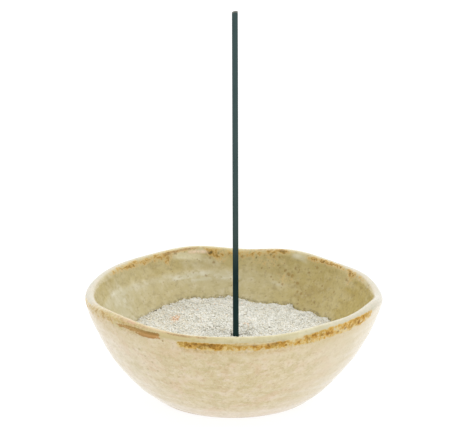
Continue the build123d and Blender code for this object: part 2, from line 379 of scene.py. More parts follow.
IN_BREAK = [(0, 0.2), (12, 0.2), (21, 0.4), (24.5, 0.5), (26, 0.85), (31, 0.95), (33.5, 0.3), (35.2, 0.3), (36.5, 0.85), (39, 0.95), (46, 0.95), (53, 0.95), (56, 0.45),
            (60, 0.05), (63, 0.15), (66, 0.8), (71, 0.9), (77, 0.6), (83, 0.55), (89, 0.50), (92, 0.5), (95, 0.45), (96.5, 0.8), (98, 1.0),
            (101.2, 1.0), (102.4, 0.15), (104, 0.20), (107, 0.55), (112, 0.6), (115, 0.85), (118, 1.0), (121, 0.8), (128, 0.75), (133, 0.62),
            (139, 0.8), (145, 0.72), (151, 0.6), (155, 0.2), (162, 0.1), (180, 0.08), (200, 0.1), (225, 0.2), (250, 0.3),
            (262, 0.25), (280, 0.1), (320, 0.1), (350, 0.15)]
IN_PLACE = [(0, -2.0), (28, -2.3), (39, -1.5), (50, -1.7), (58, -2.2), (66, -1.5), (74, -1.7), (84, -2.5), (90, -2.6), (95, -2.7),
            (100.5, -2.8), (102.5, -1.2), (106, -1.5), (116, -2.2), (121, -2.4), (136, -2.3), (150, -2.2), (200, -2.0)]
IN_SPREAD = [(0, 1.2), (28, 1.5), (39, 1.0), (54, 1.2), (66, 1.1), (76, 1.5), (88, 2.0), (95, 1.8), (100.5, 1.8), (102.5, 0.8), (106, 0.9),
             (114, 1.1), (118, 1.8), (123, 1.6), (140, 1.5), (152, 1.3), (200, 1.2)]
FAR_EDGE = [(0, 0.0), (36, 0.1), (45, 0.2), (57, 0.1), (63, 0.42), (75, 0.62), (86, 0.50), (91, 0.22), (98, 0.1), (101, 0.35),
            (106.5, 0.6), (108, 1.0), (110, 1.0), (118, 0.8), (123, 0.35), (135, 0.25), (150, 0.1), (160, 0.0), (359, 0.0)]
NEAR_EDGE = [(0, 0.0), (221, 0.0), (222, 0.5), (227, 0.6), (228, 0.0), (243, 0.0), (244.5, 0.8), (249, 1.0), (253, 1.0), (255, 0.6), (256.3, 0.85), (259.5, 0.95), (261, 0.5), (264, 0.15),
             (267, 0.0), (359, 0.0)]
ROSE_EDGE = [(0, 0.0), (218, 0.0), (221, 0.15), (225.5, 0.2), (226.3, 1.0), (229, 1.1), (230, 0.15), (233, 0.2), (238, 0.42), (243, 0.36), (246, 0.0), (359, 0.0)]
wob = big(flat, 9.0, 2).reshape(T.shape)
out_break = periodic_table(OUT_BREAK, T)
in_break = periodic_table(IN_BREAK, T)
out_centre = periodic_table(OUT_PLACE, T) + 0.30 * wob
in_centre = periodic_table(IN_PLACE, T) + 0.25 * wob


def hump(x, centre, width, power=2):
    return np.exp(-np.abs((x - centre) / width) ** power)


# down the outer band: 0 at its upper edge, 1 at its lower
half_band = periodic_table(OUT_SPREAD, T)
down = (S - out_centre + half_band) / (2 * half_band)
brown_out = out_break * smooth(-0.10, 0.14, down) * (1 - smooth(0.72, 1.16, down)) * (1.22 - 0.50 * np.clip(down, 0, 1))
brown_in = in_break * hump(S, in_centre, periodic_table(IN_SPREAD, T), 2.4)
# small runs of brown into the inside
drip = 0.9 * hump(deg, 119.4, 1.3) * hump(S, -5.0, 1.8) + 0.36 * hump(deg, 95.5, 3.0) * hump(S, -5.4, 1.6)
drip = drip + 0.42 * hump(deg, 74, 11.0) * hump(S, -5.6, 2.6) + 0.40 * hump(deg, 66, 7.0) * hump(Z, 30.0, 3.0) * (S < -3)
drip = drip + 0.7 * hump(deg, 29, 3.0) * hump(S, -5.4, 2.0)
fringe = out_break * hump(down, 1.16, 0.42) * smooth(240, 252, deg) * (1 - 0.6 * smooth(286, 300, deg))
straw = hump(deg, 236, 30, 4)
fringe = fringe + 0.85 * hump(deg, 206, 9.0, 4) * hump(S, 3.9, 2.2, 4) + 0.42 * hump(deg, 213, 13.0, 4) * hump(S, 8.0, 4.6, 4)
brown = brown_out
umber = brown_in + 0.8 * drip
# a rust streak where the lip folds, front left: two strands
fold = 3.25 - 0.05 * (deg - 236) + 0.35 * mid(flat, 5.0, 2).reshape(T.shape)
strand = 0.88 + 0.4 * mid(flat + 19, 2.6, 2).reshape(T.shape)
streak = (1.15 * hump(S, fold - 0.55, 0.66) * smooth(221, 230, deg) + 1.05 * hump(S, fold + 0.75, 0.62) * smooth(227, 234, deg))
streak = streak * strand * (1 - smooth(237.6, 244.6, deg + 1.6 * mid(flat + 40, 1.6, 1).reshape(T.shape)))
streak = streak + 0.58 * strand * hump(S, fold - 0.35 + 0.5 * wob, 0.6) * smooth(217.5, 222, deg) * (1 - smooth(225, 232, deg))
across = np.clip((S - fold + 1.25) / 2.7 + 0.22 * (1 - smooth(224, 231, deg)), 0, 1)
# thin lines where the glaze drew off the sharpest bend
thin = periodic_table(FAR_EDGE, T) * 1.1 * hump(S, -0.85 - 0.55 * smooth(99, 103, deg) * (1 - smooth(122, 130, deg)) - 0.2 * smooth(107, 113, deg) * (1 - smooth(122, 130, deg)) + 0.2 * wob, 0.62)
thin = thin + periodic_table(NEAR_EDGE, T) * hump(S, 0.85 + 0.15 * wob, 0.72) + 0.55 * hump(deg, 281, 5.0, 4) * hump(S, 2.75, 0.4)
rose = periodic_table(ROSE_EDGE, T) * hump(S, 0.75 + 0.15 * wob, 0.62)
# painted highlights: a pale rosy line inside the far lip, and pale celadon patches under it and inside the back right
# rim, with thin pale lines on the near lip above the brown band
rosy_highlight = 1.2 * hump(deg, 105.6, 4.3, 6) * hump(S, -2.85 + 0.15 * wob, 0.62)
celadon_highlight = 1.1 * hump(deg, 110.3, 6.8, 4) * hump(S, -4.6 + 0.14 * (deg - 106.7), 1.4, 4) + 0.8 * hump(deg, 293.5, 3.0, 4) * hump(S, 2.6, 0.9) + 0.5 * hump(deg, 59.5, 3.8, 4) * hump(S, -3.3 + 0.25 * (deg - 59.5), 0.8)
celadon_highlight = celadon_highlight + 0.6 * hump(deg, 277, 7.0, 4) * hump(S, 3.35, 0.42)
side = smooth(0.72, 0.90, np.abs(np.cos(T)))
inner = smooth(-(1.2 - 0.75 * side), 1.2 - 0.75 * side, -S - 0.6 - 0.4 * side)
lip = hump(S, 1.0, 2.2, 4)
# straw mottle over the whole shoulder, front left
olive = smooth(192, 203, deg) * (1 - smooth(229, 241, deg)) * hump(S, 2.5, 3.3, 4)
# paler, greyer glaze low inside on the left under the ledge, with painted light over the inside wall: paler towards the
# left, where the wall faces the right-hand light, and over the back; a painted highlight line just under the ledge
under = smooth(ledge_z + 0.8, ledge_z - 1.2, Z.ravel()).reshape(T.shape)
reach_p = smooth(70, 100, deg) * (1 - smooth(200, 225, deg))
pale_glaze_and_light = inner * reach_p * under * (0.32 + 0.34 * smooth(118, 160, deg)) * (1 - 0.22 * smooth(30.5, 25.0, Z))
pale_glaze_and_light = pale_glaze_and_light + inner * 0.30 * (1 - under) * smooth(112, 150, deg) * (1 - smooth(200, 230, deg))
pale_glaze_and_light = pale_glaze_and_light + inner * reach_p * 0.22 * hump(Z, ledge_z.reshape(T.shape) - 1.3, 1.1)
pale_glaze_and_light = pale_glaze_and_light + inner * 0.19 * hump(deg, 90, 27, 4) * hump(Z, 33.6, 4.0, 4)
pale_glaze_and_light = pale_glaze_and_light + inner * 0.26 * hump(deg, 105, 10, 4) * hump(Z, 35.3, 2.4)
pale_glaze_and_light = pale_glaze_and_light + inner * 0.28 * hump(deg, 88, 24, 4) * smooth(32.5, 28.5, Z)
# painted highlights: bright lines along the ledge at the back left and the back, and a soft upright painted reflection
# at the left
run = 31.4 + 0.02 * (105 - deg) * 4 + 0.5 * wob
pale_glaze_and_light = pale_glaze_and_light + inner * 0.95 * hump(deg, 110, 8.5, 4) * hump(Z, run, 0.48) + inner * 0.6 * hump(deg, 106, 6.0, 4) * hump(Z, run - 1.9, 0.42)
pale_glaze_and_light = pale_glaze_and_light + inner * 0.5 * hump(deg, 93, 5.0) * hump(Z, 29.5, 0.8) + inner * 0.4 * hump(deg, 68, 7.0) * hump(Z, 28.3, 0.7)
pale_glaze_and_light = pale_glaze_and_light + inner * 0.62 * hump(deg, 156, 6.0) * hump(Z, 28.0, 6.5, 4)
# painted highlights just under the rim, inside at the back right and back left
pale_glaze_and_light = pale_glaze_and_light + 0.8 * hump(deg, 60.5, 3.8, 4) * hump(S, -2.6, 1.1) + 0.5 * hump(deg, 104, 4.5, 4) * hump(S, -2.6, 0.8)
bare = np.broadcast_to(kind_foot[:, None], T.shape) * 1.0
bare = np.maximum(bare, smooth(0.55, 0.15, Z) * (S > 0))
specks = inner * (0.06 + 0.94 * smooth(0.25, 0.85, 0.5 + 0.5 * np.cos(T - math.radians(50))))
# straw-coloured belly at the front, rosier towards the left and low down
front = 0.5 + 0.5 * np.cos(T - math.radians(274))
warm = (1 - inner) * (0.62 + 0.36 * hump(deg, 222, 26, 4)) * hump(S, 7.5, 5.5, 4) * smooth(196, 208, deg) * (1 - 0.45 * smooth(288, 314, deg)) * (1 - smooth(326, 344, deg))
warm = warm + (1 - inner) * 0.45 * hump(deg, 242, 14, 4) * hump(Z, 13.0, 7.0, 4)
warm = warm + (1 - inner) * (front ** 6 * hump(Z, 17.0, 11.0, 4) + 0.30 * smooth(0, 1, big(flat + 31, 17.0, 2).reshape(T.shape)))
# the clouding is strongest in front, and calm towards the right
cloud = 1.0 - 0.55 * smooth(288, 322, deg) - 0.25 * smooth(30, 0, deg) - 0.25 * hump(S, 7.5, 3.5, 4)
# painted shade: a dark line on the inside wall just above the sand's edge, standing in for the contact shadow where the
# sand meets the wall
contact_shade = inner * hump(Z, sand_edge(T) + sand_ragged(T) + 0.15, 0.5) * (1 - 0.55 * smooth(118, 126, deg) * (1 - smooth(150, 160, deg)))
# painted reflection: the glaze greyer and less yellow towards the left and right sides, where it reflects the white
# backdrop at a glancing angle
side_sheen = smooth(0.30, 0.95, np.abs(np.cos(T)))
for name, values, a0, b0 in (("inner", inner, 1, 0), ("lip", lip, 0, 0), ("side_sheen", side_sheen, 0, 0), ("brown", brown, 0, 0), ("umber", umber, 0, 0), ("streak", streak, 0, 0),
                             ("thin", thin, 0, 0), ("olive", olive, 0, 0), ("pale_glaze_and_light", pale_glaze_and_light, 0, 0), ("bare", bare, 0, 1),
                             ("rose", rose, 0, 0), ("rosy_highlight", rosy_highlight, 0, 0), ("celadon_highlight", celadon_highlight, 0, 0), ("across", across, 0, 0),
                             ("cloud", cloud, 0, 0), ("contact_shade", contact_shade, 0, 0), ("down", down, 0, 0), ("fringe", fringe, 0, 0), ("straw", straw, 0, 0),
                             ("specks", specks, 0, 0), ("warm", warm, 0, 0), ("height", Z, FLOOR_Z, FOOT_RECESS)):
    put(bowl, name, add_end(values, a0, b0))


# ------------------------------------------------------------------ sand
def sand_level(x, y):
    z = SAND_MIDDLE_Z + 0.28 * np.sin(0.115 * x + 0.6) * np.cos(0.098 * y - 0.4)
    z = z + 0.16 * np.sin(0.21 * x - 0.13 * y + 1.9)
    d = np.hypot(x - STICK_X_AT_FOOT, y)
    return z - CRATER_DEPTH * np.exp(-(d / CRATER_R) ** 2)


inner_z = sec[:15, 1]
inner_r = sec[:15, 0]
zz = np.linspace(FLOOR_Z, 37.0, 400)
rr = spline(inner_z, inner_r, zz)


def wall_r(z, t):
    """Radius of the bowl's inside at a height and angle."""
    level = z - fade(z) * series(RIM_UP, t)
    return np.interp(level, zz, rr) + wander(level) * series(RIM_OUT, t)


def sand_top(x, y):
    """Height of the sand anywhere inside the bowl."""
    t = np.arctan2(y, x)
    ze = sand_edge(t)
    f = np.clip(np.hypot(x, y) / wall_r(ze, t), 0, 1)
    g = f ** 5
    return g * ze + (1 - g) * sand_level(x, y) + f ** np.where(sand_ragged(t) < 0.0, 11, 26) * (sand_ragged(t) - HEAP_SINK)


HEAP_SINK = 0.32
ripple = Noise(31)


def sand_rough(x, y):
    q = np.column_stack([x.ravel(), y.ravel(), 0 * x.ravel()])
    return (ripple(q, 5.0, 2) * 0.24 + ripple(q + 50, 2.3, 2) * 0.16).reshape(np.shape(x))


SAND_AROUND = 240
st = np.linspace(0, 2 * math.pi, SAND_AROUND, endpoint=False)
half = STICK_SIDE / 2 + STICK_HOLE_GAP
square = half / np.maximum(np.abs(np.cos(st)), np.abs(np.sin(st)))
square = np.minimum(square, half * 1.30)
rings_xyz = []
# hole, from its bottom up
for z in (STICK_FOOT_Z, 11.5, 14.0, 16.5, 19.0, 20.6):
    cx = STICK_X_AT_FOOT + STICK_LEAN * (z - STICK_FOOT_Z)
    rings_xyz.append(np.column_stack([cx + square * np.cos(st), square * np.sin(st), np.full(SAND_AROUND, z)]))
cx = STICK_X_AT_FOOT + STICK_LEAN * (21.5 - STICK_FOOT_Z)
edge_z = sand_edge(st) + sand_ragged(st) - HEAP_SINK
edge_r = wall_r(edge_z, st) - 0.10
for f in np.concatenate([[0.0, 0.006, 0.016], np.linspace(0.03, 1.0, 64)]):
    hx, hy = cx + square * np.cos(st), square * np.sin(st)
    ex, ey = edge_r * np.cos(st), edge_r * np.sin(st)
    x, y = hx + f * (ex - hx), hy + f * (ey - hy)
    calm = min(f / 0.03, 1.0) * (1 - 0.6 * smooth(0.97, 1.0, np.array(f)))
    z = sand_top(x, y) + calm * sand_rough(x, y) - 0.20 - (0.35 * (1 - min(f / 0.02, 1.0)))
    rings_xyz.append(np.column_stack([x, y, z]))
for z in (20.0, 19.0, 17.5, 16.0, 14.4, 12.8, 11.4, 10.2, 9.3, 8.6, 8.1, 7.75):
    r = wall_r(np.full(SAND_AROUND, z), st) - 0.14
    rings_xyz.append(np.column_stack([r * np.cos(st), r * np.sin(st), np.full(SAND_AROUND, z) + 0.05]))
for r in (19.0, 14.0, 9.0, 4.5):
    rings_xyz.append(np.column_stack([r * np.cos(st), r * np.sin(st), np.full(SAND_AROUND, FLOOR_Z + 0.1)]))
sv = np.vstack(rings_xyz)
n_r = len(rings_xyz)
hole_c, low_c = len(sv), len(sv) + 1
hx0 = STICK_X_AT_FOOT
sv = np.vstack([sv, [[hx0, 0, STICK_FOOT_Z]], [[0, 0, FLOOR_Z + 0.1]]])
j = np.arange(SAND_AROUND)
k = (j + 1) % SAND_AROUND
sand = mesh_object("sand_bed_surface", sv * MM, [
    grid_faces(n_r, SAND_AROUND),
    np.column_stack([np.full(SAND_AROUND, hole_c), k, j]),
    np.column_stack([np.full(SAND_AROUND, low_c), (n_r - 1) * SAND_AROUND + j, (n_r - 1) * SAND_AROUND + k])])
face_outward(sand)

# ---- loose grains: broken, many-sided solids lying on and in the surface
CUBE_V = np.array([(x, y, z) for z in (-1, 1) for y in (-1, 1) for x in (-1, 1)], float) * 0.62
CUBE_F = np.array([(0, 2, 3), (0, 3, 1), (4, 5, 7), (4, 7, 6), (0, 1, 5), (0, 5, 4), (2, 6, 7), (2, 7, 3),
                   (0, 4, 6), (0, 6, 2), (1, 3, 7), (1, 7, 5)])
rng = np.random.default_rng(7)


def scatter(spacing, jitter):
    """Points on a shaken triangular lattice over a patch as wide as the bowl."""
    n = int(46 / spacing)
    i, j2 = np.meshgrid(np.arange(-n, n + 1), np.arange(-int(n * 1.2), int(n * 1.2) + 1))
    x = (i + 0.5 * (j2 % 2)) * spacing
    y = j2 * spacing * 0.866
    x = x.ravel() + rng.uniform(-jitter, jitter, x.size)
    y = y.ravel() + rng.uniform(-jitter, jitter, y.size)
    return x, y


x1, y1 = scatter(0.56, 0.24)
x2, y2 = scatter(0.84, 0.42)
gx = np.concatenate([x1, x2])
gy = np.concatenate([y1, y2])
layer = np.concatenate([np.zeros(len(x1)), np.ones(len(x2))])
keep = np.hypot(gx, gy) < 46
gx, gy, layer = gx[keep], gy[keep], layer[keep]
gz = sand_top(gx, gy) + sand_rough(gx, gy) + np.where(layer > 0, 0.13, -0.02) + rng.normal(0, 0.035, len(gx))
# grains heaped against the wall, in small clumps that climb it
EDGE_N = 5200
et = rng.uniform(0, 2 * math.pi, EDGE_N)
along = np.column_stack([46 * np.cos(et), 46 * np.sin(et), 0 * et])
clump = smooth(-0.15, 0.75, ripple(along + 5, 3.4, 2)) * (0.55 + 0.75 * smooth(-0.3, 0.6, ripple(along - 40, 13.0, 1)))
lift = rng.uniform(0, 1, EDGE_N) * (0.22 + 0.55 * clump)
ez = sand_edge(et) + sand_ragged(et) + lift - HEAP_SINK
back = rng.uniform(0, 1, EDGE_N) ** 1.5 * 1.3 * (1.15 - lift / 1.5)
er = wall_r(ez, et) - 0.36 - np.maximum(back, 0)
ez = ez - 0.45 * np.maximum(back - 0.5, 0)
gx = np.concatenate([gx, er * np.cos(et)])
gy = np.concatenate([gy, er * np.sin(et)])
gz = np.concatenate([gz, ez])
layer = np.concatenate([layer, np.full(EDGE_N, 2.0)])
size = np.exp(rng.normal(math.log(0.345), 0.24, len(gx)))          # mean half-width
size = np.clip(size, 0.20, 0.62)
big_one = rng.uniform(size=len(gx)) < 0.010
size = np.where(big_one, size * 1.45, size)
gt = np.arctan2(gy, gx)
reach = size * 1.22
ok = np.hypot(gx, gy) + reach < wall_r(gz - 0.2, gt) - 0.03
sx = STICK_X_AT_FOOT + STICK_LEAN * (gz - STICK_FOOT_Z)
ok &= np.maximum(np.abs(gx - sx), np.abs(gy)) > STICK_SIDE / 2 + STICK_HOLE_GAP + reach * 0.98
gx, gy, gz, gt, size, layer = (a[ok] for a in (gx, gy, gz, gt, size, layer))
count = len(gx)
flat_xy = np.column_stack([gx, gy, 0 * gx])
tone = np.clip(0.5 + 0.24 * (rng.uniform(0, 1, count) - 0.5) + 0.50 * ripple(flat_xy + 90, 2.8, 2), 0, 1)
kinds = rng.uniform(size=count)
kinds = np.where(rng.uniform(size=count) < 0.40 * smooth(-6, -30, gx), 0.93, kinds)      # more cream to the left
# more dark grains round the stick and in two patches behind it
darker = 0.006 + 0.34 * np.exp(-((gx + 7.0) / 4.2) ** 2 - ((gy - 6.0) / 5.0) ** 2) + 0.36 * np.exp(-((gx - 5.2) / 2.6) ** 2 - ((gy - 6.0) / 4.5) ** 2)
darker = darker + 0.26 * np.exp(-(np.hypot(gx - STICK_X_AT_FOOT, gy) / 3.4) ** 2)
# more dark and black grains in the crack between the sand and the wall
at_crack = (layer > 1.5) * (gz > sand_edge(gt) + sand_ragged(gt) - HEAP_SINK + 0.12)
darker = darker + at_crack * 0.08
tint = 0.0016 + 0.92 * np.exp(-(((gx + 21.8) / 1.5) ** 2 + ((gy - 19.2) / 3.6) ** 2)) + 0.5 * np.exp(-(((gx - 4.7) / 0.8) ** 2 + ((gy - 12.0) / 1.6) ** 2))
tint = tint + 0.5 * np.exp(-(((gx - 18.6) / 0.6) ** 2 + ((gy - 5.0) / 0.9) ** 2)) + 0.08 * np.exp(-(((gx + 12.0) / 1.2) ** 2 + ((gy - 18.0) / 3.0) ** 2))
left_crack = smooth(122, 127, np.degrees(gt)) * (1 - smooth(148, 153, np.degrees(gt)))
right_crack = smooth(22, 27, np.degrees(gt)) * (1 - smooth(60, 68, np.degrees(gt)))
is_tint = rng.uniform(size=count) < tint
is_black = ~is_tint & (rng.uniform(size=count) < at_crack * (0.03 + 0.34 * left_crack + 0.12 * right_crack) + 0.0008)
is_dark = ~is_tint & ~is_black & (rng.uniform(size=count) < darker)
plain = ~is_tint & ~is_dark & ~is_black
grain_sets = [("sand_grains_white_a", plain & (kinds < 0.34)),
              ("sand_grains_white_b", plain & (kinds >= 0.34) & (kinds < 0.68)),
              ("sand_grains_grey", plain & (kinds >= 0.68) & (kinds < 0.83)),
              ("sand_grains_cream", plain & (kinds >= 0.83)),
              ("sand_grains_dark", is_dark),
              ("sand_grains_black", is_black),
              ("sand_grains_orange", is_tint)]


def random_turns(n):
    q = rng.normal(size=(n, 4))
    q /= np.linalg.norm(q, axis=1, keepdims=True)
    w, x, y, z = q.T
    return np.stack([np.stack([1 - 2 * (y * y + z * z), 2 * (x * y - z * w), 2 * (x * z + y * w)], -1),
                     np.stack([2 * (x * y + z * w), 1 - 2 * (x * x + z * z), 2 * (y * z - x * w)], -1),
                     np.stack([2 * (x * z - y * w), 2 * (y * z + x * w), 1 - 2 * (x * x + y * y)], -1)], 1)


def grain_mesh(name, mask):
    n = int(mask.sum())
    shape = (CUBE_V[None] + rng.uniform(-0.20, 0.20, (n, 8, 3))) * rng.uniform(0.78, 1.22, (n, 1, 3))
    shape = np.einsum("nij,nkj->nki", random_turns(n), shape)
    shape[:, :, 2] *= 0.62
    co = shape * size[mask][:, None, None] + np.column_stack([gx[mask], gy[mask], gz[mask]])[:, None]
    f = (CUBE_F[None] + 8 * np.arange(n)[:, None, None]).reshape(-1, 3)
    ob = mesh_object(name, co.reshape(-1, 3) * MM, [f], smooth_shade=False)
    put(ob, "tone", np.repeat(tone[mask], 8))
    return ob


grains = [grain_mesh(name, mask) for name, mask in grain_sets]

# ------------------------------------------------------------------ stick
ROUND = 0.09
corner = []
for q in range(4):
    for a in np.linspace(0, math.pi / 2, 6):
        ang = q * math.pi / 2 + a
        cxq = (STICK_SIDE / 2 - ROUND) * (1 if q in (0, 3) else -1)
        cyq = (STICK_SIDE / 2 - ROUND) * (1 if q in (0, 1) else -1)
        corner.append((cxq + ROUND * math.cos(ang), cyq + ROUND * math.sin(ang)))
    nxt = [(0, 1), (-1, 0), (0, -1), (1, 0)][q]
corner = np.array(corner)
# add points along the flats
outline = []
for a, b in zip(corner, np.roll(corner, -1, 0)):
    steps_n = max(1, int(np.linalg.norm(b - a) / 0.22))
    for i in range(steps_n):
        outline.append(a + (b - a) * i / steps_n)
outline = np.array(outline)
m = len(outline)
LENGTH = STICK_TOP_Z - STICK_FOOT_Z
levels = np.concatenate([[0.0, 0.06, 0.2], np.arange(0.7, LENGTH - 1.2, 0.55), [LENGTH - 1.0, LENGTH - 0.75, LENGTH - 0.5]])
stick_noise = Noise(41)
rows_p = []
for h in levels:
    p = np.column_stack([outline, np.full(m, h)])
    q = np.column_stack([outline * 3.0, np.full(m, h * 0.35)])
    d = 1 + (stick_noise(q, 1.9, 2) * 0.010 + stick_noise(p + 9, 0.6, 1) * 0.004)
    if h < 0.1:
        d = d * 0.90
    p[:, :2] *= d[:, None]
    rows_p.append(p)
# the broken end: falls away to the left, rough, closed by rings to a middle point
def end_height(x, y):
    q = np.column_stack([x, y, 0 * x])
    h = LENGTH - 0.10 + 0.05 * (x / STICK_SIDE)
    h = h - 0.62 * smooth(0.25, 1.15, -(x + 0.05 * y))
    h = h - 0.22 * smooth(0.75, 1.1, x)
    return h + 0.07 * stick_noise(q * 2.2, 0.8, 2)


for f in (1.0, 0.93, 0.8, 0.62, 0.42, 0.22):
    xy = outline * f
    z = end_height(xy[:, 0], xy[:, 1]) - (0.10 if f == 1.0 else 0.0)
    rows_p.append(np.column_stack([xy, z]))
st_v = np.vstack(rows_p)
nrow = len(rows_p)
bot, top = len(st_v), len(st_v) + 1
mid_z = float(end_height(np.array([0.0]), np.array([0.0]))[0])
st_v = np.vstack([st_v, [[0, 0, 0.0]], [[0, 0, mid_z]]])
world = np.column_stack([STICK_X_AT_FOOT + st_v[:, 0] + STICK_LEAN * st_v[:, 2], st_v[:, 1], STICK_FOOT_Z + st_v[:, 2]])
j = np.arange(m)
k = (j + 1) % m
stick = mesh_object("incense_stick_pressed", world * MM, [
    grid_faces(nrow, m), np.column_stack([np.full(m, bot), k, j]),
    np.column_stack([np.full(m, top), (nrow - 1) * m + j, (nrow - 1) * m + k])])
face_outward(stick)
cut = np.zeros(len(st_v))
cut[(nrow - 6) * m:] = 1.0
cut[bot] = 0.0
cut[(nrow - 6) * m:(nrow - 5) * m] = 0.5
put(stick, "cut", cut)
# smooth shading on every face; the small corner rounds keep the long edges crisp
for poly_smooth in (stick,):
    poly_smooth.data.polygons.foreach_set("use_smooth", np.ones(len(poly_smooth.data.polygons), bool))


# ------------------------------------------------------------------ materials
def srgb(r, g, b):
    def one(c):
        c = c / 255
        return c / 12.92 if c <= 0.04045 else ((c + 0.055) / 1.055) ** 2.4
    return (one(r), one(g), one(b), 1.0)


class Tree:
    def __init__(self, name):
        self.mat = bpy.data.materials.new(name)
        self.mat.use_nodes = True
        self.nt = self.mat.node_tree
        self.nt.nodes.clear()
        self.out = self.add("ShaderNodeOutputMaterial")
        self.bsdf = self.add("ShaderNodeBsdfPrincipled")
        self.link(self.bsdf.outputs[0], self.out.inputs["Surface"])
        self.coord = self.add("ShaderNodeTexCoord").outputs["Object"]

    def add(self, kind, **props):
        n = self.nt.nodes.new(kind)
        for a, b in props.items():
            setattr(n, a, b)
        return n

    def link(self, a, b):
        self.nt.links.new(a, b)

    def give(self, socket, value):
        if hasattr(value, "is_output"):
            self.link(value, socket)
        else:
            socket.default_value = value

    def noise(self, size_mm, detail=2.0, rough=0.55, distortion=0.0, stretch=None, offset=0.0):
        n = self.add("ShaderNodeTexNoise")
        n.inputs["Scale"].default_value = 1000.0 / size_mm
        n.inputs["Detail"].default_value = detail
        n.inputs["Roughness"].default_value = rough
        n.inputs["Distortion"].default_value = distortion
        mp = self.add("ShaderNodeMapping")
        mp.inputs["Scale"].default_value = stretch or (1, 1, 1)
        mp.inputs["Location"].default_value = (offset, offset * 0.7, -offset)
        self.link(self.coord, mp.inputs["Vector"])
        self.link(mp.outputs[0], n.inputs["Vector"])
        return n.outputs["Fac"]

    def spots(self, size_mm, feature="F1", randomness=1.0, offset=0.0, stretch=None):
        n = self.add("ShaderNodeTexVoronoi", feature=feature)
        n.inputs["Scale"].default_value = 1000.0 / size_mm
        n.inputs["Randomness"].default_value = randomness
        mp = self.add("ShaderNodeMapping")
        mp.inputs["Location"].default_value = (offset, offset * 0.3, offset * 1.7)
        mp.inputs["Scale"].default_value = stretch or (1, 1, 1)
        self.link(self.coord, mp.inputs["Vector"])
        self.link(mp.outputs[0], n.inputs["Vector"])
        return n

    def attr(self, name):
        return self.add("ShaderNodeAttribute", attribute_name=name).outputs["Fac"]

    def maths(self, op, a, b=0.0, c=0.0, clamp=False):
        n = self.add("ShaderNodeMath", operation=op, use_clamp=clamp)
        for s, v in zip(n.inputs, (a, b, c)):
            self.give(s, v)
        return n.outputs[0]

    def step(self, value, lo, hi, to_lo=0.0, to_hi=1.0):
        n = self.add("ShaderNodeMapRange", interpolation_type="SMOOTHSTEP")
        self.give(n.inputs["Value"], value)
        for s, v in zip(n.inputs[1:5], (lo, hi, to_lo, to_hi)):
            self.give(s, v)
        return n.outputs[0]

    def mix(self, fac, a, b, blend="MIX"):
        n = self.add("ShaderNodeMix", data_type="RGBA", blend_type=blend)
        self.give(n.inputs[0], fac)
        self.give(n.inputs[6], a)
        self.give(n.inputs[7], b)
        return n.outputs[2]

    def ramp(self, fac, stops):
        n = self.add("ShaderNodeValToRGB")
        self.give(n.inputs[0], fac)
        el = n.color_ramp.elements
        while len(el) < len(stops):
            el.new(0.5)
        for e, (pos, col) in zip(el, stops):
            e.position = pos
            e.color = col
        return n.outputs[0]

    def bump(self, height, strength, distance_mm, under=None):
        n = self.add("ShaderNodeBump")
        n.inputs["Strength"].default_value = strength
        n.inputs["Distance"].default_value = distance_mm * MM
        self.link(height, n.inputs["Height"])
        if under is not None:
            self.link(under, n.inputs["Normal"])
        return n.outputs[0]


